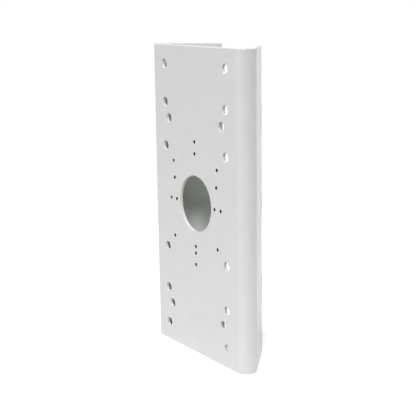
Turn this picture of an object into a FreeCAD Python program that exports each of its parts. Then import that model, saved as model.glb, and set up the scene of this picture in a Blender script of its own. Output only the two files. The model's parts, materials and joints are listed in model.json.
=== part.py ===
import FreeCAD, Part
import math
import os
import Sketcher
from FreeCAD import Vector

# Pole mount for a camera: one sheet of steel, punched flat, then folded back and inward along both
# long sides, so that the two rear edges sit against a pole and bands through the slots hold it there.
# The origin is the centre of the cable hole on the plate's front face. X runs to the right, Z up, and
# the front face looks along -Y, so that the flanges and the pole lie on the +Y side.

SIZES = (
    ("plate_width", 150.6, "width over the outside of the two bends"),
    ("plate_height", 288.4, "height of the sheet"),
    ("sheet_thickness", 3.0, "thickness of the coated sheet"),
    ("bend_radius", 7.2, "inside radius of the two bends"),
    ("fold_angle", 139.05, "degrees that each flange is turned out of the plate"),
    ("flange_length", 53.5, "straight part of a flange, from its bend to its rear edge"),
    ("edge_rounding", 0.9, "rounding of the sheet's cut edges"),
    ("cable_hole_diameter", 52.4, "hole for the cables in the middle of the plate"),
    ("rim_chamfer", 0.4, "chamfer on the cable hole's two rims"),
    ("bolt_diameter", 8.6, "plain holes for M8 bolts"),
    ("side_to_bolt_column", 25.3, "from the outside of a bend to the nearer column of bolt holes"),
    ("end_to_first_row", 17.85, "from the plate's top or bottom to the first row of bolt holes"),
    ("first_to_second_row", 35.6, "from the first row of bolt holes to the second"),
    ("second_to_third_row", 41.55, "from the second row of bolt holes to the third"),
    ("arm_column_spacing", 87.2, "between the two columns of an arm's bolt holes"),
    ("arm_drop", 14.9, "an arm's bolt holes lie this far below the second rows"),
    ("screw_drill", 3.3, "tapping drill of the M4 screw holes"),
    ("box_screw_height_far", 115.3, "between the outer screw holes above and below the cable hole"),
    ("box_screw_height_near", 93.3, "between the inner screw holes above and below the cable hole"),
    ("box_screw_width_far", 83.4, "between the outer screw holes beside the cable hole"),
    ("box_screw_width_near", 63.9, "between the inner screw holes beside the cable hole"),
    ("square_screw_width", 72.5, "across the four screw holes at the corners of a square base"),
    ("square_screw_height", 72.5, "up and down between those four screw holes"),
    ("dome_screw_width", 70.1, "between the two upper screw holes of a dome's base"),
    ("dome_screw_rise", 20.2, "those two screw holes lie this far above the cable hole's centre"),
    ("dome_screw_drop", 40.4, "the dome's third screw hole lies this far below the centre"),
    ("band_slot_length", 22.8, "length of the slots for the bands, up the flange"),
    ("band_slot_width", 5.0, "width of the slots for the bands, across the flange"),
    ("band_slot_corner", 1.0, "corner radius of the slots"),
    ("band_slot_land", 3.0, "sheet left between a slot and the flange's rear edge"),
    ("band_slot_pitch", 79.0, "from one slot to the next, up the flange"),
    ("punch_overrun", 2.0, "each cut goes this far past the sheet's far side"),
)
BAND_SLOTS_PER_FLANGE = 3
LARGEST_ROUNDING = 0.45  # as a share of the sheet's thickness, so that two roundings fit on one edge
CLOSE = 1e-3  # share by which two sizes may differ and still count as the same

# How a sketch numbers its two axes, and the points of a line or an arc.
HORIZONTAL_AXIS, VERTICAL_AXIS = -1, -2
START, END, CENTRE = range(1, 4)
ORIGIN_POINT = (HORIZONTAL_AXIS, START)

doc = FreeCAD.newDocument("pole_mount")
sheet = doc.addObject("Spreadsheet::Sheet", "Sizes")
for row, (alias, value, note) in enumerate(SIZES, start=1):
    sheet.set(f"A{row}", alias)
    sheet.set(f"B{row}", str(value))
    sheet.setAlias(f"B{row}", alias)
    sheet.set(f"C{row}", note)
doc.recompute()


def origin_plane(body, role):
    """Return the body's own plane or axis that has this role."""
    return next(part for part in body.Origin.OriginFeatures if part.Role == role)


def new_sketch(body, name, plane):
    """Return an empty sketch that lies in one of the body's own planes."""
    sketch = body.newObject("Sketcher::SketchObject", name)
    sketch.AttachmentSupport = (origin_plane(body, plane), [""])
    sketch.MapMode = "FlatFace"
    return sketch


def bind(sketch, name, constraint, expression):
    """Add a dimension to the sketch, name it and tie it to the sheet."""
    index = sketch.addConstraint(constraint)
    sketch.renameConstraint(index, name)
    sketch.setExpression(f"Constraints.{name}", expression)


def draw_flange(profile, side):
    """Draw the bend and flange at one side of the section, and return the numbers of its lines and arcs."""
    outer_radius = sheet.bend_radius + sheet.sheet_thickness
    facing = math.radians(sheet.fold_angle - 90)
    middle = Vector(side * (sheet.plate_width / 2 - outer_radius), outer_radius)
    across = Vector(side * math.cos(facing), math.sin(facing))
    along = Vector(-side * math.sin(facing), math.cos(facing)) * sheet.flange_length
    outer_start = middle + across * outer_radius
    inner_start = middle + across * sheet.bend_radius
    turn = (-math.pi / 2, facing) if side > 0 else (math.pi - facing, math.pi * 1.5)
    shapes = [Part.ArcOfCircle(Part.Circle(middle, Vector(0, 0, 1), radius), *turn)
              for radius in (outer_radius, sheet.bend_radius)]
    shapes.append(Part.LineSegment(outer_start, outer_start + along))
    shapes.append(Part.LineSegment(outer_start + along, inner_start + along))
    shapes.append(Part.LineSegment(inner_start + along, inner_start))
    return profile.addGeometry(shapes, False)


def draw_section(body):
    """Sketch the folded sheet as seen from above: plate, two bends and two flanges of one thickness."""
    profile = new_sketch(body, "section", "XY_Plane")
    half_flat = sheet.plate_width / 2 - sheet.bend_radius - sheet.sheet_thickness
    thick = sheet.sheet_thickness
    front = profile.addGeometry(Part.LineSegment(Vector(-half_flat, 0), Vector(half_flat, 0)), False)
    back = profile.addGeometry(Part.LineSegment(Vector(half_flat, thick), Vector(-half_flat, thick)), False)
    outer, inner, outside, tip, inside = draw_flange(profile, 1)
    outer_left, inner_left, outside_left, tip_left, inside_left = draw_flange(profile, -1)

    profile.addConstraint([
        Sketcher.Constraint("PointOnObject", front, END, HORIZONTAL_AXIS),
        Sketcher.Constraint("Symmetric", front, START, front, END, VERTICAL_AXIS),
        Sketcher.Constraint("Tangent", front, END, outer, START),
        Sketcher.Constraint("Tangent", outer, END, outside, START),
        Sketcher.Constraint("Perpendicular", outside, END, tip, START),
        Sketcher.Constraint("Perpendicular", tip, END, inside, START),
        Sketcher.Constraint("Tangent", inside, END, inner, END),
        Sketcher.Constraint("Tangent", inner, START, back, START),
        Sketcher.Constraint("Coincident", outer, CENTRE, inner, CENTRE),
        Sketcher.Constraint("Coincident", front, START, outer_left, END),
        Sketcher.Constraint("Coincident", outer_left, START, outside_left, START),
        Sketcher.Constraint("Coincident", outside_left, END, tip_left, START),
        Sketcher.Constraint("Coincident", tip_left, END, inside_left, START),
        Sketcher.Constraint("Coincident", inside_left, END, inner_left, START),
        Sketcher.Constraint("Coincident", inner_left, END, back, END),
        Sketcher.Constraint("Symmetric", outside, START, outside_left, START, VERTICAL_AXIS),
        Sketcher.Constraint("Symmetric", tip, START, tip_left, START, VERTICAL_AXIS),
        Sketcher.Constraint("Symmetric", tip, END, tip_left, END, VERTICAL_AXIS),
        Sketcher.Constraint("Symmetric", inside, END, inside_left, END, VERTICAL_AXIS),
        Sketcher.Constraint("Symmetric", back, START, back, END, VERTICAL_AXIS),
        Sketcher.Constraint("Equal", outer, outer_left),
        Sketcher.Constraint("Equal", inner, inner_left),
    ])
    bind(profile, "inside_radius", Sketcher.Constraint("Radius", inner, sheet.bend_radius),
         "Sizes.bend_radius")
    bind(profile, "outside_radius", Sketcher.Constraint("Radius", outer, sheet.bend_radius + thick),
         "Sizes.bend_radius + Sizes.sheet_thickness")
    bind(profile, "flat_half", Sketcher.Constraint("DistanceX", *ORIGIN_POINT, front, END, half_flat),
         "Sizes.plate_width / 2 - Sizes.bend_radius - Sizes.sheet_thickness")
    bind(profile, "flange_run", Sketcher.Constraint("Distance", outside, sheet.flange_length),
         "Sizes.flange_length")
    bind(profile, "turned", Sketcher.Constraint("Angle", outside, math.radians(sheet.fold_angle)),
         "Sizes.fold_angle * 1 deg")
    return profile


def place(sketch, name, kind, axis, circle, rule):
    """Put a circle's centre at a distance from the origin, or on the axis where no rule is given."""
    if rule is None:
        sketch.addConstraint(Sketcher.Constraint("PointOnObject", circle, CENTRE, axis))
    else:
        distance = sketch.evalExpression(rule)
        bind(sketch, name, Sketcher.Constraint(kind, *ORIGIN_POINT, circle, CENTRE, distance), rule)


def hole(sketch, name, diameter, across=None, up=None):
    """Add a round hole to the sketch, on an axis where no distance from it is given."""
    middle = Vector(*(sketch.evalExpression(rule) if rule else 0 for rule in (across, up)))
    size = getattr(sheet, diameter)
    circle = sketch.addGeometry(Part.Circle(middle, Vector(0, 0, 1), size / 2), False)
    bind(sketch, f"{name}_size", Sketcher.Constraint("Diameter", circle, size), f"Sizes.{diameter}")
    place(sketch, f"{name}_across", "DistanceX", VERTICAL_AXIS, circle, across)
    place(sketch, f"{name}_up", "DistanceY", HORIZONTAL_AXIS, circle, up)


def draw_rounded_slot(sketch):
    """Draw one band slot with round corners, centred on the sketch's X axis, near the flange's edge."""
    near = sheet.flange_length - sheet.band_slot_land
    far = near - sheet.band_slot_width
    half = sheet.band_slot_length / 2
    corner = sheet.band_slot_corner
    axis = Vector(0, 0, 1)
    quarter = math.pi / 2
    sides = sketch.addGeometry([
        Part.LineSegment(Vector(near, corner - half), Vector(near, half - corner)),
        Part.LineSegment(Vector(near - corner, half), Vector(far + corner, half)),
        Part.LineSegment(Vector(far, half - corner), Vector(far, corner - half)),
        Part.LineSegment(Vector(far + corner, -half), Vector(near - corner, -half)),
    ], False)
    middles = (Vector(near - corner, half - corner), Vector(far + corner, half - corner),
               Vector(far + corner, corner - half), Vector(near - corner, corner - half))
    corners = sketch.addGeometry([
        Part.ArcOfCircle(Part.Circle(middle, axis, corner), turn * quarter, (turn + 1) * quarter)
        for turn, middle in enumerate(middles)], False)
    for turn, rounding in enumerate(corners):
        following = sides[(turn + 1) % len(sides)]
        sketch.addConstraint(Sketcher.Constraint("Tangent", sides[turn], END, rounding, START))
        sketch.addConstraint(Sketcher.Constraint("Tangent", rounding, END, following, START))
    for other in corners[1:]:
        sketch.addConstraint(Sketcher.Constraint("Equal", corners[0], other))
    right, top, left, bottom = sides
    sketch.addConstraint(Sketcher.Constraint("Vertical", left))
    sketch.addConstraint(Sketcher.Constraint("Horizontal", top))
    sketch.addConstraint(Sketcher.Constraint("Horizontal", bottom))
    sketch.addConstraint(Sketcher.Constraint("Symmetric", right, START, right, END, HORIZONTAL_AXIS))
    bind(sketch, "corner", Sketcher.Constraint("Radius", corners[0], corner), "Sizes.band_slot_corner")
    bind(sketch, "place", Sketcher.Constraint("DistanceX", *ORIGIN_POINT, right, START, near),
         "Sizes.flange_length - Sizes.band_slot_land")
    bind(sketch, "width", Sketcher.Constraint("DistanceX", left, START, right, START, near - far),
         "Sizes.band_slot_width")
    bind(sketch, "length", Sketcher.Constraint("DistanceY", bottom, START, top, START, 2 * half),
         "Sizes.band_slot_length")


def punch(body, sketch, name):
    """Cut the sketch's outlines through the sheet, and check that they went through it."""
    doc.recompute()
    before = body.Tip.Shape.Volume
    cut = body.newObject("PartDesign::Pocket", name)
    cut.Profile = sketch
    cut.Type = "Length"
    cut.setExpression("Length", "Sizes.sheet_thickness + Sizes.punch_overrun")
    doc.recompute()
    expected = sum(Part.Face(wire).Area for wire in sketch.Shape.Wires) * sheet.sheet_thickness
    removed = before - cut.Shape.Volume
    if not math.isclose(removed, expected, rel_tol=CLOSE):
        raise RuntimeError(f"{name} removed {removed:.1f} mm3 instead of {expected:.1f} mm3")
    return cut


def both_ways(rule):
    """Return a name and an expression for the places at this distance on either side of the origin."""
    return (("plus", rule), ("minus", f"-({rule})"))


bracket = doc.addObject("PartDesign::Body", "pole_bracket")
bracket.Label = "pole_bracket"

# The folded sheet. Its section is drawn from above and runs the whole height.
section = draw_section(bracket)
folded = bracket.newObject("PartDesign::Pad", "folded_sheet")
folded.Profile = section
folded.SideType = "Symmetric"
folded.setExpression("Length", "Sizes.plate_height")
doc.recompute()

# The cut edges at the top, the bottom and the two rear edges are rounded, and the coat rounds them more.
rear_edge_area = sheet.sheet_thickness * sheet.plate_height
cut_faces = [face for face in folded.Shape.Faces
             if math.isclose(abs(face.normalAt(0, 0).z), 1)
             or math.isclose(face.Area, rear_edge_area, rel_tol=CLOSE)]
rounded = bracket.newObject("PartDesign::Fillet", "rounded_edges")
rounded.Base = (folded, [f"Edge{number}" for number, edge in enumerate(folded.Shape.Edges, start=1)
                         if any(edge.isSame(other) for face in cut_faces for other in face.Edges)])
rounded.setExpression("Radius", f"min(Sizes.edge_rounding; Sizes.sheet_thickness * {LARGEST_ROUNDING})")

# The hole for the cables, in the middle of the plate.
cable_sketch = new_sketch(bracket, "cable_hole_outline", "XZ_Plane")
hole(cable_sketch, "cable_hole", "cable_hole_diameter")
cable_hole = punch(bracket, cable_sketch, "cable_hole")

# Six plain bolt holes down each side of the plate, in columns and rows counted from its sides and ends.
first_row = "Sizes.plate_height / 2 - Sizes.end_to_first_row"
second_row = f"{first_row} - Sizes.first_to_second_row"
third_row = f"{second_row} - Sizes.second_to_third_row"
bolt_sketch = new_sketch(bracket, "bolt_outlines", "XZ_Plane")
for side, across in both_ways("Sizes.plate_width / 2 - Sizes.side_to_bolt_column"):
    for number, row in enumerate((first_row, second_row, third_row), start=1):
        for level, up in both_ways(row):
            hole(bolt_sketch, f"row{number}_{side}_{level}", "bolt_diameter", across, up)
bolt_holes = punch(bracket, bolt_sketch, "bolt_holes")

# Four more for a camera's wall arm, in narrower columns and lower down, so that they miss the others.
arm_sketch = new_sketch(bracket, "arm_bolt_outlines", "XZ_Plane")
for side, across in both_ways("Sizes.arm_column_spacing / 2"):
    for level, up in both_ways(second_row):
        hole(arm_sketch, f"arm_{side}_{level}", "bolt_diameter", across, f"{up} - Sizes.arm_drop")
arm_bolt_holes = punch(bracket, arm_sketch, "arm_bolt_holes")

# Small tapped holes round the cable hole, for the bases of cameras and junction boxes.
screw_sketch = new_sketch(bracket, "screw_outlines", "XZ_Plane")
for reach in ("far", "near"):
    for level, up in both_ways(f"Sizes.box_screw_height_{reach} / 2"):
        hole(screw_sketch, f"box_{reach}_up_{level}", "screw_drill", up=up)
    for side, across in both_ways(f"Sizes.box_screw_width_{reach} / 2"):
        hole(screw_sketch, f"box_{reach}_across_{side}", "screw_drill", across=across)
for side, across in both_ways("Sizes.square_screw_width / 2"):
    for level, up in both_ways("Sizes.square_screw_height / 2"):
        hole(screw_sketch, f"square_{side}_{level}", "screw_drill", across, up)
for side, across in both_ways("Sizes.dome_screw_width / 2"):
    hole(screw_sketch, f"dome_{side}", "screw_drill", across, "Sizes.dome_screw_rise")
hole(screw_sketch, "dome_bottom", "screw_drill", up="-Sizes.dome_screw_drop")
screw_holes = punch(bracket, screw_sketch, "screw_holes")

# Slots for the bands, near the rear edge of each flange. The sketch lies on the right flange's outside.
slot_sketch = new_sketch(bracket, "band_slot_outline", "YZ_Plane")
slot_sketch.AttachmentOffset = FreeCAD.Placement(Vector(), FreeCAD.Rotation(Vector(0, 1, 0), 1))
facing_rule = "(Sizes.fold_angle - 90) * 1 deg"
outside_rule = "(Sizes.bend_radius + Sizes.sheet_thickness)"
lowest_rule = f"-Sizes.band_slot_pitch * {BAND_SLOTS_PER_FLANGE - 1} / 2"
slot_sketch.setExpression(".AttachmentOffset.Rotation.Angle", facing_rule)
slot_sketch.setExpression(".AttachmentOffset.Base.x", f"{outside_rule} * (1 + sin({facing_rule}))")
slot_sketch.setExpression(".AttachmentOffset.Base.y", lowest_rule)
slot_sketch.setExpression(".AttachmentOffset.Base.z",
                          f"Sizes.plate_width / 2 - {outside_rule} * (1 - cos({facing_rule}))")
draw_rounded_slot(slot_sketch)
band_slot = punch(bracket, slot_sketch, "band_slot")

# The slot repeats up the flange, and the other flange is the mirror image.
slots_up = bracket.newObject("PartDesign::LinearPattern", "slots_up_the_flange")
slots_up.Direction = (origin_plane(bracket, "Z_Axis"), [""])
slots_up.Occurrences = BAND_SLOTS_PER_FLANGE
slots_up.setExpression("Length", f"Sizes.band_slot_pitch * {BAND_SLOTS_PER_FLANGE - 1}")
slots_across = bracket.newObject("PartDesign::Mirrored", "slots_in_the_other_flange")
slots_across.MirrorPlane = (origin_plane(bracket, "YZ_Plane"), [""])
band_slots = bracket.newObject("PartDesign::MultiTransform", "band_slots")
band_slots.Originals = [band_slot]
band_slots.Transformations = [slots_up, slots_across]
bracket.Tip = band_slots
doc.recompute()

# Both rims of the cable hole are chamfered, so that they do not cut the cables.
eased = bracket.newObject("PartDesign::Chamfer", "eased_rims")
rim_length = math.pi * sheet.cable_hole_diameter
eased.Base = (band_slots, [f"Edge{number}" for number, edge in enumerate(band_slots.Shape.Edges, start=1)
                           if edge.isClosed() and math.isclose(edge.Length, rim_length, rel_tol=CLOSE)])
eased.setExpression("Size", f"min(Sizes.rim_chamfer; Sizes.sheet_thickness * {LARGEST_ROUNDING})")
doc.recompute()

failed = [item.Name for item in doc.Objects if {"Invalid", "Error"} & set(item.State)]
if failed:
    raise RuntimeError(f"these did not build: {failed}")
shape = bracket.Shape
if shape.isNull() or not shape.isValid() or len(shape.Solids) != 1:
    raise RuntimeError("the bracket is not one sound solid")
os.makedirs("parts", exist_ok=True)
shape.exportStep(f"parts/{bracket.Label}.step")
print(f"{bracket.Label}: {shape.Volume:.0f} mm3, {len(shape.Faces)} faces, box {shape.BoundBox}")
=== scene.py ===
import bpy
import json
import math
from mathutils import Matrix, Vector
from mathutils.geometry import delaunay_2d_cdt


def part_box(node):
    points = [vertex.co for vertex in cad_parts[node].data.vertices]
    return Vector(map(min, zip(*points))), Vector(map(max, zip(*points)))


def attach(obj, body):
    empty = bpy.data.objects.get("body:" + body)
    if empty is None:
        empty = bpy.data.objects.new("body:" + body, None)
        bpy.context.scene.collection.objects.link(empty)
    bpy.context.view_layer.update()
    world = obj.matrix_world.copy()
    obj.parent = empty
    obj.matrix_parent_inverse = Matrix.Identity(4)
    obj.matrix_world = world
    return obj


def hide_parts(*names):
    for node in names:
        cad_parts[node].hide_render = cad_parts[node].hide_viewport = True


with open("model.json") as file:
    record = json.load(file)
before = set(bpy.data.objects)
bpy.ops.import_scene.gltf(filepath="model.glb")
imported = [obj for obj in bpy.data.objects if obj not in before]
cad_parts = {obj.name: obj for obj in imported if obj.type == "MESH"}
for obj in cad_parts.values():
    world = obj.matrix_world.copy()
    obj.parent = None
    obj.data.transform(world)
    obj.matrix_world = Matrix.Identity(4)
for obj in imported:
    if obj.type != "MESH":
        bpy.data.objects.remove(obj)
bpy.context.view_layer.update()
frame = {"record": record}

# The blank: one rectangle of steel sheet, sheared and punched flat before it is folded.
# It is drawn flat here too, with u across the sheet, v up it and w down into its thickness from the
# front face. Every face of the bracket goes into one closed skin, and fold_point bends it to shape.
thickness = 0.003
inside_radius = 0.0072
outside_radius = inside_radius + thickness
fold_angle = math.radians(139.05)
flange_run = 0.0535
low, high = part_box("pole_bracket")
half_height = (high.z - low.z) / 2
flat_half = (high.x - low.x) / 2 - outside_radius
unstretched_share = 0.44  # how deep in the thickness the sheet neither stretches nor shortens
bend_run = fold_angle * (inside_radius + unstretched_share * thickness)
flange_start = flat_half + bend_run
blank_half = flange_start + flange_run


def ways_at(side, turn):
    """Return the way across the sheet and the way out of its front face, once it has turned this far."""
    across = Vector((math.cos(turn), side * math.sin(turn), 0))
    out = Vector((side * math.sin(turn), -math.cos(turn), 0))
    return across, out


def fold_point(u, v, w):
    """Return where a point of the flat sheet lies once the sheet is folded."""
    side = math.copysign(1, u)
    past = abs(u) - flat_half
    if past <= 0:
        return Vector((u, w, v))
    across, out = ways_at(side, min(past / bend_run, 1) * fold_angle)
    middle = Vector((side * flat_half, outside_radius, v))
    straight = max(past - bend_run, 0)
    return middle + out * (outside_radius - w) + across * straight * side


# The press leaves no sharp line where a bend meets its flange. The sheet still straightens a little over the
# flange's first stretch, so the normals there turn more slowly than the plain arc does.
easing_start = math.radians(75)  # how far the sheet has turned where the easing begins
easing_run = 0.016  # how far over the flange it goes on
easing_power = 4.5  # how fast it dies away


def eased_turn(past):
    """Return how far the sheet's face has turned, this far past the plate, with the bend's end eased."""
    start = bend_run * easing_start / fold_angle
    share = min(max((past - start) / (bend_run + easing_run - start), 0), 1)
    if share == 0:
        return max(past, 0) / bend_run * fold_angle
    return fold_angle - (fold_angle - easing_start) * (1 - share) ** easing_power


def fold_normal(u, normal):
    """Turn a direction in the flat sheet, given across, up and into it, as the fold turns it."""
    across, out = ways_at(math.copysign(1, u), eased_turn(abs(u) - flat_half))
    return across * normal[0] + Vector((0, 0, normal[1])) - out * normal[2]


class SheetSkin:
    """Collects the bracket's faces, with one vertex for each place in the flat sheet."""
    kept_digits = 7  # places that agree to a tenth of a micron are one

    def __init__(self):
        self.places = {}
        self.points = []
        self.normals = []
        self.faces = []
        self.bare = []

    def vertex(self, u, v, w, normal):
        """Return the vertex at a place in the flat sheet, folded when it is first asked for."""
        key = tuple(round(measure, self.kept_digits) for measure in (u, v, w))
        if key not in self.places:
            self.places[key] = len(self.points)
            self.points.append(fold_point(u, v, w))
            self.normals.append(fold_normal(u, normal))
        return self.places[key]

    def face(self, corners, bare=False):
        """Add one face, coated or of bare steel."""
        self.faces.append(tuple(corners))
        self.bare.append(bare)

    def strip(self, first, second, bare=False):
        """Join two closed rows of vertices by a band of faces."""
        for here in range(len(first)):
            after = (here + 1) % len(first)
            self.face((first[after], first[here], second[here], second[after]), bare)


skin = SheetSkin()

# The cut edges round the whole sheet, dressed round after shearing and rounder still under the coat.
# The sheet's four corners are nipped off to a small radius, so that they don't catch a hand.
edge_rounding = 0.0009
edge_steps = 6
corner_radius = 0.001
bend_steps = 40
easing_steps = 10
# The rows of faces over a bend and over the flange's first stretch, from the plate outward.
fold_stops = [flat_half + bend_run * step / bend_steps for step in range(bend_steps)]
fold_stops += [flange_start + easing_run * step / easing_steps for step in range(easing_steps + 1)]


def rounded_edge(rounding, steps):
    """Return the rows down a rounded edge, from front face to back: inset, depth and tilt."""
    quarter = [math.pi / 2 * step / steps for step in range(steps + 1)]
    front = [(rounding * (1 - math.sin(tilt)), rounding * (1 - math.cos(tilt)), tilt) for tilt in quarter]
    back = [(inset, thickness - depth, math.pi - tilt) for inset, depth, tilt in reversed(front)]
    return front + back


def add_rim(outline, rounding, steps):
    """Add the rounded edge that runs along an outline, whose points carry the way out of the sheet."""
    rows = []
    for inset, depth, tilt in rounded_edge(rounding, steps):
        sideways, inward = math.sin(tilt), -math.cos(tilt)
        rows.append([skin.vertex(u - across * inset, v - up * inset, depth,
                                 (across * sideways, up * sideways, inward))
                     for u, v, across, up in outline])
    for first, second in zip(rows, rows[1:]):
        skin.strip(first, second)


def move_in(outline, inset):
    """Return an outline's points moved into the sheet by the inset."""
    return [(u - across * inset, v - up * inset) for u, v, across, up in outline]


# A rectangle's corners, clockwise: each one's side, its end and the turn at which its rounding starts.
corners_clockwise = ((1, 1, math.pi / 2), (1, -1, 0), (-1, -1, -math.pi / 2), (-1, 1, -math.pi))


def corner_points(middle_u, middle_v, radius, start):
    """Return the points round a corner, clockwise, each with the way out of the corner."""
    points = []
    for step in range(edge_steps + 1):
        turn = start - math.pi / 2 * step / edge_steps
        across, up = math.cos(turn), math.sin(turn)
        points.append((middle_u + across * radius, middle_v + up * radius, across, up))
    return points


def blank_outline():
    """Return the blank's outline, anticlockwise, with a point at each step of the bends."""
    stops = [-stop for stop in reversed(fold_stops)] + fold_stops
    end_u, end_v = blank_half - corner_radius, half_height - corner_radius
    outline = []
    for side_u, side_v, start in corners_clockwise:
        outline += corner_points(side_u * end_u, side_v * end_v, corner_radius, start)
        if (side_u, side_v) == (1, -1):
            outline += [(stop, -half_height, 0, -1) for stop in reversed(stops)]
        if (side_u, side_v) == (-1, 1):
            outline += [(stop, half_height, 0, 1) for stop in stops]
    return outline[::-1]


sheet_edge = blank_outline()
add_rim(sheet_edge, edge_rounding, edge_steps)

# The two bends, pressed into the sheet between the plate and its flanges along both long sides.
# The steel is bent in one stroke over the whole height, so a bend has one radius from end to end.
inner_edge = half_height - edge_rounding
for side in (-1, 1):
    for near, far in zip(fold_stops, fold_stops[1:]):
        left, right = min(side * near, side * far), max(side * near, side * far)
        corners = ((left, -inner_edge), (right, -inner_edge), (right, inner_edge), (left, inner_edge))
        for depth, facing in ((0, -1), (thickness, 1)):
            quad = [skin.vertex(u, v, depth, (0, 0, facing)) for u, v in corners]
            skin.face(quad if facing < 0 else reversed(quad))

# The holes punched through the plate: one large hole for the cables and sixteen for M8 bolts.
# The coat runs over their rims and down their walls, and leaves each rim softly rounded.
rim_rounding = 0.0004
rim_steps = 4
cable_hole_points = 160
bolt_hole_points = 64
plate_holes = []


def circle(middle_u, middle_v, radius, points):
    """Return a round hole's outline, clockwise, with the way out of the sheet towards its middle."""
    turns = [-2 * math.pi * number / points for number in range(points)]
    return [(middle_u + radius * math.cos(turn), middle_v + radius * math.sin(turn),
             -math.cos(turn), -math.sin(turn)) for turn in turns]


def hole_places(mount):
    """Return the middles of a mount's holes on the plate."""
    reach_u = mount["dims"].get("spacing_x_mm", 0) / 2000
    reach_v = mount["dims"].get("spacing_y_mm", 0) / 2000
    return sorted({(mount["pos_m"][0] + side * reach_u, mount["pos_m"][2] + level * reach_v)
                   for side in (-1, 1) for level in (-1, 1)})


def hole_radius(mount):
    """Return the radius of a mount's holes in metres."""
    return (mount["dims"].get("hole_r_mm") or mount["dims"]["r_mm"]) / 1000


# The frame's record lists every pattern of holes as a mount, with its place, its radius and its spacing.
hole_mounts = [mount for mount in frame["record"]["mounts"]
               if mount["kind"] in ("bore", "bolt_pattern", "threaded_hole")]
tapped_mounts = [mount for mount in hole_mounts if "screw" in mount["name"]]
punched_mounts = [mount for mount in hole_mounts if mount not in tapped_mounts]
for mount in punched_mounts:
    points = cable_hole_points if mount["kind"] == "bore" else bolt_hole_points
    for middle_u, middle_v in hole_places(mount):
        outline = circle(middle_u, middle_v, hole_radius(mount), points)
        add_rim(outline, rim_rounding, rim_steps)
        plate_holes.append(move_in(outline, rim_rounding))

# Fifteen small holes round the cable hole, tapped M4 for the screws of cameras and of electrical boxes.
# The thread is bare steel, because the tap goes through after the sheet is coated; its near-black colour is
# painted shade for the depths of the small holes.
thread_radius = 0.002
thread_pitch = 0.0007
sink_radius = 0.00168
sink_depth = 0.0003
thread_turn_points = 32
thread_rows = 40


def thread_groove(turn, depth, drill_radius):
    """Return how far the thread's wall lies from its axis, at a turn round it and a depth."""
    phase = (depth / thread_pitch + turn / (2 * math.pi)) % 1
    from_root = abs(2 * phase - 1)
    cut = min(max(1.5 - 2 * from_root, 0), 1)  # a quarter of the pitch each: root, slope, crest and slope
    # The thread runs out over half a pitch at each countersink.
    fade = min(depth - sink_depth, thickness - sink_depth - depth) / (thread_pitch / 2)
    groove = drill_radius + (thread_radius - drill_radius) * cut * min(max(fade, 0), 1)
    end = min(depth, thickness - depth)
    sink = sink_radius - (sink_radius - drill_radius) * end / sink_depth
    return max(groove, sink)


def thread_normal(turn, depth, drill_radius):
    """Return the way out of the thread's wall, from how fast the wall moves in and out."""
    if depth in (0, thickness):
        return Vector((0, 0, math.copysign(1, depth - thickness / 2)))
    nudge = 1e-5
    round_it = (thread_groove(turn + nudge / drill_radius, depth, drill_radius)
                - thread_groove(turn - nudge / drill_radius, depth, drill_radius)) / (2 * nudge)
    along = (thread_groove(turn, min(depth + nudge, thickness), drill_radius)
             - thread_groove(turn, max(depth - nudge, 0), drill_radius)) / (2 * nudge)
    radial = Vector((math.cos(turn), math.sin(turn), 0))
    sideways = Vector((-math.sin(turn), math.cos(turn), 0))
    return (-radial + sideways * round_it + Vector((0, 0, along))).normalized()


def add_thread(middle_u, middle_v, drill_radius):
    """Add one tapped hole's wall and return its outline on the plate's faces."""
    turns = [-2 * math.pi * number / thread_turn_points for number in range(thread_turn_points)]

    def spot(turn, radius):
        return middle_u + radius * math.cos(turn), middle_v + radius * math.sin(turn)

    rows = []
    for row in range(thread_rows + 1):
        depth = thickness * row / thread_rows
        rows.append([skin.vertex(*spot(turn, thread_groove(turn, depth, drill_radius)), depth,
                                 thread_normal(turn, depth, drill_radius))
                     for turn in turns])
    for first, second in zip(rows, rows[1:]):
        skin.strip(first, second, bare=True)
    return [spot(turn, sink_radius) for turn in turns]


for mount in tapped_mounts:
    for middle_u, middle_v in hole_places(mount):
        plate_holes.append(add_thread(middle_u, middle_v, hole_radius(mount)))

# The plate: the flat middle of the sheet, which carries the camera and lies open between the two bends.
# Its front and its back are filled in round every punched and tapped hole.
same_spot = 1e-9  # points nearer than this are one


def fill_faces(outer, holes):
    """Fill the front and the back face inside one outline and round the holes in it."""
    loops = [outer, *holes]
    corners = [point for loop in loops for point in loop]
    starts = [sum(len(loop) for loop in loops[:number]) for number in range(len(loops))]
    outlines = [list(range(start, start + len(loop))) for start, loop in zip(starts, loops)]
    flat = [Vector(point) for point in corners]
    _, _, triangles, given, _, sources = delaunay_2d_cdt(flat, [], outlines, 1, same_spot)
    for triangle, source in zip(triangles, sources):
        if len(source) == len(loops):
            places = [corners[given[corner][0]] for corner in triangle]
            skin.face([skin.vertex(u, v, 0, (0, 0, -1)) for u, v in places])
            skin.face([skin.vertex(u, v, thickness, (0, 0, 1)) for u, v in reversed(places)])


plate_outline = [(-flat_half, -inner_edge), (flat_half, -inner_edge),
                 (flat_half, inner_edge), (-flat_half, inner_edge)]
fill_faces(plate_outline, plate_holes)

# The two flanges, folded in behind the plate so that their rear edges grip a round pole between them.
# Each has three slots near its rear edge, punched before folding, for the steel bands that go round the pole.
slot_length = 0.0228
slot_width = 0.005
slot_corner = 0.001
slot_land = 0.003
slot_pitch = 0.079


def slot_outline(middle_u, middle_v):
    """Return a band slot's outline with its round corners, clockwise like a hole's."""
    reach_u, reach_v = slot_width / 2 - slot_corner, slot_length / 2 - slot_corner
    return [(u, v, -across, -up) for side_u, side_v, start in corners_clockwise
            for u, v, across, up in corner_points(middle_u + side_u * reach_u, middle_v + side_v * reach_v,
                                                  slot_corner, start)]


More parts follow.
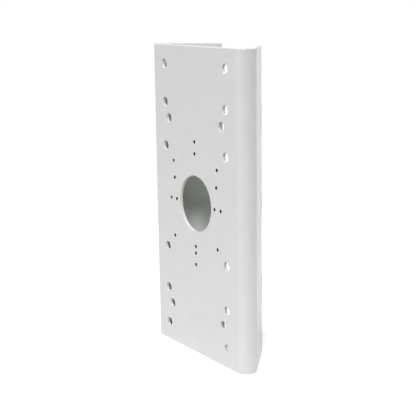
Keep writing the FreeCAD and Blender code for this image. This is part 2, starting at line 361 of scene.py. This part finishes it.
for side in (-1, 1):
    slots = []
    for level in (-1, 0, 1):
        outline = slot_outline(side * (blank_half - slot_land - slot_width / 2), level * slot_pitch)
        add_rim(outline, rim_rounding, rim_steps)
        slots.append(move_in(outline, rim_rounding))
    # The flange's share of the sheet's outline, anticlockwise round its middle.
    flange = [(u, v) for u, v in move_in(sheet_edge, edge_rounding) if side * u >= fold_stops[-1] - same_spot]
    flange.sort(key=lambda point: math.atan2(point[1], side * point[0] - flange_start - flange_run / 2))
    fill_faces(flange[::side], slots)


def add_to_scene(name, data):
    """Put a mesh, a camera or a lamp into the scene and return it."""
    thing = bpy.data.objects.new(name, data)
    bpy.context.collection.objects.link(thing)
    return thing


# The whole sheet is one mesh: the coat's faces first, and the bare threads as its second finish.
skin_mesh = bpy.data.meshes.new("folded_sheet")
skin_mesh.from_pydata(skin.points, [], skin.faces)
skin_mesh.polygons.foreach_set("use_smooth", [True] * len(skin.faces))
skin_mesh.polygons.foreach_set("material_index", [int(bare) for bare in skin.bare])
skin_mesh.normals_split_custom_set_from_vertices(skin.normals)
folded_sheet = add_to_scene("folded_sheet", skin_mesh)
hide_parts("pole_bracket")
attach(folded_sheet, "root")

# The powder coat: white polyester powder, sprayed on and baked, about a tenth of a millimetre thick.
# It flows into a fine orange peel, and its satin gloss changes a little from place to place.
coat_shades = ((0.650, 0.670, 0.634, 1), (0.665, 0.685, 0.649, 1))
coat_roughness = (0.18, 0.24)
coat_reach = 0.15  # how far its noises mostly stray from their middle
shade_scale, gloss_scale, peel_scale, grain_scale = 60, 180, 520, 2600
peel_depth, grain_depth = 0.000022, 0.000004


def start_finish(name):
    """Start a finish of its own and return it with its nodes, its links and its shader."""
    finish = bpy.data.materials.new(name)
    finish.use_nodes = True
    nodes, links = finish.node_tree.nodes, finish.node_tree.links
    return finish, nodes, links, nodes["Principled BSDF"]


def noise(scale, detail):
    """Add a noise that is fixed to the object, with about this many bumps to the metre."""
    texture = nodes.new("ShaderNodeTexNoise")
    texture.inputs["Scale"].default_value = scale
    texture.inputs["Detail"].default_value = detail
    links.new(place.outputs["Object"], texture.inputs["Vector"])
    return texture.outputs["Fac"]


def spread(value, reach, low_value, high_value):
    """Stretch a noise, from this far under its middle to this far over it, to the given values."""
    ranged = nodes.new("ShaderNodeMapRange")
    for name, number in zip(("From Min", "From Max", "To Min", "To Max"),
                            (0.5 - reach, 0.5 + reach, low_value, high_value)):
        ranged.inputs[name].default_value = number
    links.new(value, ranged.inputs["Value"])
    return ranged.outputs["Result"]


def mix_shades(shades, share):
    """Mix two shades by a share that changes from place to place."""
    tint = nodes.new("ShaderNodeMix")
    tint.data_type = "RGBA"
    tint.inputs["A"].default_value, tint.inputs["B"].default_value = shades
    links.new(share, tint.inputs["Factor"])
    return tint.outputs["Result"]


def raise_bumps(height, depth, under=None):
    """Add a bump of this depth in metres over an earlier one."""
    bump = nodes.new("ShaderNodeBump")
    bump.inputs["Distance"].default_value = depth
    links.new(height, bump.inputs["Height"])
    if under is not None:
        links.new(under, bump.inputs["Normal"])
    return bump.outputs["Normal"]


coat, nodes, links, shader = start_finish("white_powder_coat")
place = nodes.new("ShaderNodeTexCoord")
shader.inputs["IOR"].default_value = 1.5
shade_share = spread(noise(shade_scale, 3), coat_reach, 0, 1)
links.new(mix_shades(coat_shades, shade_share), shader.inputs["Base Color"])
links.new(spread(noise(gloss_scale, 3), coat_reach, *coat_roughness), shader.inputs["Roughness"])
peel = raise_bumps(noise(peel_scale, 1.5), peel_depth)
links.new(raise_bumps(noise(grain_scale, 2), grain_depth, peel), shader.inputs["Normal"])
skin_mesh.materials.append(coat)

# The bare thread: steel that the tap has cut, left unpainted inside the small holes.
# Its near-black colour, far darker than clean steel, is painted shade for the depths of the small holes, and
# it changes at random from one turn of the thread to the next.
painted_shade_steel_tones = ((0.05, 0.05, 0.049, 1), (0.11, 0.11, 0.107, 1))
steel_roughness = (0.3, 0.5)
steel_tone_reach = 0.2
steel_tone_scale, smear_scale = 1500, 3000
near_black_thread_steel, nodes, links, shader = start_finish("tapped_steel_painted_dark")
place = nodes.new("ShaderNodeTexCoord")
shader.inputs["Metallic"].default_value = 1
steel_tone_share = spread(noise(steel_tone_scale, 3), steel_tone_reach, 0, 1)
links.new(mix_shades(painted_shade_steel_tones, steel_tone_share), shader.inputs["Base Color"])
links.new(spread(noise(smear_scale, 2), steel_tone_reach, *steel_roughness), shader.inputs["Roughness"])
skin_mesh.materials.append(near_black_thread_steel)

# The floor: a sheet of white studio paper, a metre square, on the table that the bracket stands on.
# The lamps light it, and a lift makes it white to the camera and a little lighter in the gloss.
paper_reach = 0.5
camera_lift, gloss_lift = 0.45, 0.16
floor_mesh = bpy.data.meshes.new("floor")
floor_mesh.from_pydata([(x * paper_reach, y * paper_reach, low.z)
                        for x, y in ((-1, -1), (1, -1), (1, 1), (-1, 1))], [], [(0, 1, 2, 3)])
floor = add_to_scene("floor", floor_mesh)
paper, nodes, links, shader = start_finish("white_paper")


def reckon(operation, *values):
    """Work out a value from other values and plain numbers."""
    answer = nodes.new("ShaderNodeMath")
    answer.operation = operation
    for socket, value in zip(answer.inputs, values):
        if isinstance(value, float):
            socket.default_value = value
        else:
            links.new(value, socket)
    return answer.outputs["Value"]


shader.inputs["Base Color"].default_value = (0.8, 0.8, 0.8, 1)
shader.inputs["Roughness"].default_value = 0.9
shader.inputs["Specular IOR Level"].default_value = 0
shader.inputs["Emission Color"].default_value = (1, 1, 1, 1)
rays = nodes.new("ShaderNodeLightPath")
lift = reckon("MULTIPLY", rays.outputs["Is Camera Ray"], camera_lift)
lift = reckon("MULTIPLY_ADD", rays.outputs["Is Glossy Ray"], gloss_lift, lift)
links.new(lift, shader.inputs["Emission Strength"])
floor_mesh.materials.append(paper)

# The camera stands in front of the bracket, to its right and a little above it, and leans by under a degree.
# Its place, its lens and its tilt are those of the photograph, which was taken from about a metre off.
azimuth, elevation, roll = 56.7, 11.8, math.radians(-0.76)
target = Vector((0.02134, 0, -0.0002))
distance = 0.9223
focal_pixels, frame_pixels, sensor = 1019.6, 416, 36


def way_to(turned, raised):
    """Return the way that lies this far to the right of the front and this far above level, in degrees."""
    turned, raised = math.radians(turned), math.radians(raised)
    return Vector((math.sin(turned) * math.cos(raised), -math.cos(turned) * math.cos(raised),
                   math.sin(raised)))


back = way_to(azimuth, elevation)
camera = add_to_scene("camera", bpy.data.cameras.new("camera"))
camera.data.sensor_width = sensor
camera.data.lens = focal_pixels / frame_pixels * sensor
camera.location = target + back * distance
right = Vector((0, 0, 1)).cross(back).normalized()
up = back.cross(right)
turned_right = right * math.cos(roll) + up * math.sin(roll)
turned_up = up * math.cos(roll) - right * math.sin(roll)
camera.rotation_mode = "QUATERNION"
camera.rotation_quaternion = Matrix((turned_right, turned_up, back)).transposed().to_quaternion()
bpy.context.scene.camera = camera

# The lamps: a firm key lamp high on the front right, and larger softboxes on the left, the right and behind.
# Each has its turn to the right of the front and its height above level, in degrees, its width and its watts.
lamps = (("key", 50, 45, 0.85, 69.2),
         ("left_front", -30, 50, 1.35, 49.4),
         ("right", 80, 35, 1.35, 11.1),
         ("behind", 167, 35, 1.35, 37.0))
lamp_reach = 3.0
lamp_colour = (0.975, 0.96, 1)
lit_spot = Vector((0, 0.02, 0))
for name, turned, raised, width, watts in lamps:
    lamp = add_to_scene(name, bpy.data.lights.new(name, "AREA"))
    lamp.data.shape = "SQUARE"
    lamp.data.size = width
    lamp.data.energy = watts
    lamp.data.color = lamp_colour
    outward = way_to(turned, raised)
    lamp.location = lit_spot + outward * lamp_reach
    lamp.rotation_mode = "QUATERNION"
    lamp.rotation_quaternion = outward.to_track_quat("Z", "Y")
    lamp.visible_camera = False

# The world: a white surround, seen by the camera, in gloss and through glass, and a weak fill elsewhere.
# The fill stands for the walls of a studio, so that no shadow goes black.
fill = 0.03
world = bpy.data.worlds.new("studio")
bpy.context.scene.world = world
world.use_nodes = True
nodes, links = world.node_tree.nodes, world.node_tree.links
surround = nodes["Background"]
surround.inputs["Color"].default_value = (1, 1, 1, 1)
rays = nodes.new("ShaderNodeLightPath")
seen = reckon("MAXIMUM", rays.outputs["Is Camera Ray"], rays.outputs["Is Glossy Ray"])
seen = reckon("MAXIMUM", seen, rays.outputs["Is Transmission Ray"])
level = nodes.new("ShaderNodeMapRange")
level.inputs["To Min"].default_value = fill
level.inputs["To Max"].default_value = 1
links.new(seen, level.inputs["Value"])
links.new(level.outputs["Result"], surround.inputs["Strength"])
# The surround is plain, so no map is made of where its light comes from.
world.cycles.sampling_method = "NONE"
bpy.context.scene.view_settings.view_transform = "Standard"
